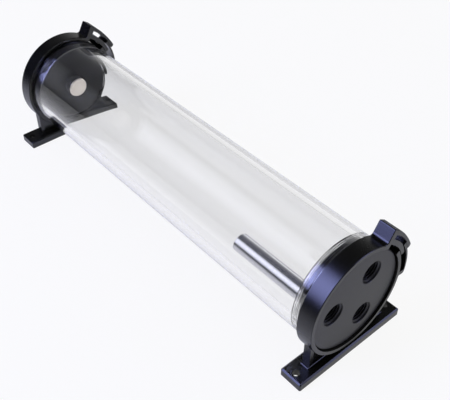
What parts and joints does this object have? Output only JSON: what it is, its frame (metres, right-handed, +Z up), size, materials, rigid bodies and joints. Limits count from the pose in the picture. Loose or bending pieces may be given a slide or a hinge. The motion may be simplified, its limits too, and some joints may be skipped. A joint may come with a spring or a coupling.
{
  "type": "water cooling reservoir",
  "caption": "Clear tube reservoir for a liquid cooling loop, lying in a pair of snap brackets, with threaded ports in its front cap and a plugged port in its rear cap.",
  "frame": {"origin": "on the panel under the feet, below the middle of the whole object", "axes": "+Y along the tube from the front cap to the rear cap, +Z up, +X to the snap side of the brackets"},
  "size_m": [0.076, 0.2766, 0.0736],
  "materials": {
    "clear_acrylic": "clear polished acrylic",
    "black_acetal": "satin turned acetal",
    "black_nylon": "satin moulded nylon",
    "seal_rubber": "smooth black rubber",
    "polished_steel": "polished steel",
    "nickel_plate": "bright nickel plate"
  },
  "bodies": {
    "brackets": {"front_bracket": "black_nylon", "rear_bracket": "black_nylon"},
    "front_clip": {"front_clip_arm": "black_nylon"},
    "rear_clip": {"rear_clip_arm": "black_nylon"},
    "reservoir": {"tube": "clear_acrylic"},
    "front_seal": {"front_cap_o_ring": "seal_rubber"},
    "front_end": {"front_cap": "black_acetal", "inlet_tube": "polished_steel"},
    "rear_seal": {"rear_cap_o_ring": "seal_rubber"},
    "rear_end": {"rear_cap": "black_acetal"},
    "plug_seal": {"rear_plug_o_ring": "seal_rubber"},
    "plug": {"rear_plug": "nickel_plate"}
  },
  "joints": [
    {"name": "front_clip_open", "type": "hinge", "parent": "brackets", "child": "front_clip", "pos_m": [-0.03218, -0.132, 0.03348], "axis": [0, -1, 0], "range_deg": [0, 8]},
    {"name": "rear_clip_open", "type": "hinge", "parent": "brackets", "child": "rear_clip", "pos_m": [-0.03218, 0.1306, 0.03348], "axis": [0, -1, 0], "range_deg": [0, 8]},
    {"name": "reservoir_turn", "type": "hinge", "parent": "brackets", "child": "reservoir", "pos_m": [0, 0, 0.038], "axis": [0, 1, 0], "continuous": true},
    {"name": "front_cap_travel", "type": "slide", "parent": "reservoir", "child": "front_seal", "axis": [0, -1, 0], "range_m": [0, 0.0051]},
    {"name": "front_cap_turn", "type": "hinge", "parent": "front_seal", "child": "front_end", "pos_m": [0, -0.1357, 0.038], "axis": [0, -1, 0], "range_deg": [0, 1800]},
    {"name": "rear_cap_travel", "type": "slide", "parent": "reservoir", "child": "rear_seal", "axis": [0, 1, 0], "range_m": [0, 0.0051]},
    {"name": "rear_cap_turn", "type": "hinge", "parent": "rear_seal", "child": "rear_end", "pos_m": [0, 0.1343, 0.038], "axis": [0, 1, 0], "range_deg": [0, 1800]},
    {"name": "rear_plug_travel", "type": "slide", "parent": "rear_end", "child": "plug_seal", "axis": [0, 1, 0], "range_m": [0, 0.0188]},
    {"name": "rear_plug_turn", "type": "hinge", "parent": "plug_seal", "child": "plug", "pos_m": [0, 0.1343, 0.038], "axis": [0, 1, 0], "range_deg": [0, 5040]}
  ],
  "couplings": [
    {"joint": "front_cap_travel", "follows": "front_cap_turn", "m_per_rad": 0.00015915},
    {"joint": "rear_cap_travel", "follows": "rear_cap_turn", "m_per_rad": 0.00015915},
    {"joint": "rear_plug_travel", "follows": "rear_plug_turn", "m_per_rad": 0.00021279}
  ]
}
